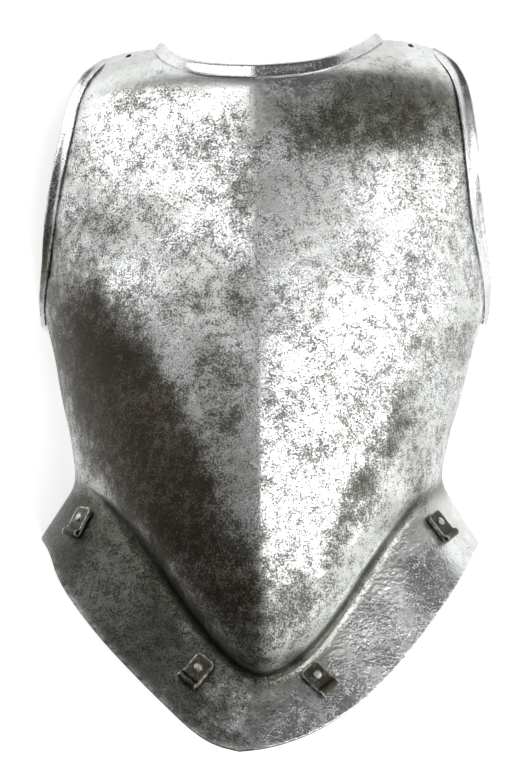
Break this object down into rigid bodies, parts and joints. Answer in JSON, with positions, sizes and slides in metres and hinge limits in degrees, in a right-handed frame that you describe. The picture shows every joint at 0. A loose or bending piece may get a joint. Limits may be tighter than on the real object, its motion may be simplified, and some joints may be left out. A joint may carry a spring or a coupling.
{
  "type": "breastplate",
  "caption": "Peascod breastplate raised from one steel plate, with turned neck and arm edges and a flared waist flange carrying four riveted buckle chapes.",
  "frame": {"origin": "middle of the plate's length and width, on the surface that its back edges lie on", "axes": "+Z out of the chest, up as the plate lies; +Y towards the neck; +X to the wearer's left"},
  "size_m": [0.3241, 0.4863, 0.1774],
  "materials": {
    "plate_steel": "old polished steel with dense dark pitting and brown stains",
    "chape_steel": "dull patinated wrought steel, worn bright on its edges",
    "rivet_steel": "worn steel, brighter on the crown of the head"
  },
  "bodies": {
    "root": {"breastplate": "plate_steel", "tasset_chape_outer_right": "chape_steel", "tasset_chape_inner_right": "chape_steel", "tasset_chape_inner_left": "chape_steel", "tasset_chape_outer_left": "chape_steel", "chape_rivet_outer_right": "rivet_steel", "chape_rivet_inner_right": "rivet_steel", "chape_rivet_inner_left": "rivet_steel", "chape_rivet_outer_left": "rivet_steel"}
  },
  "joints": []
}
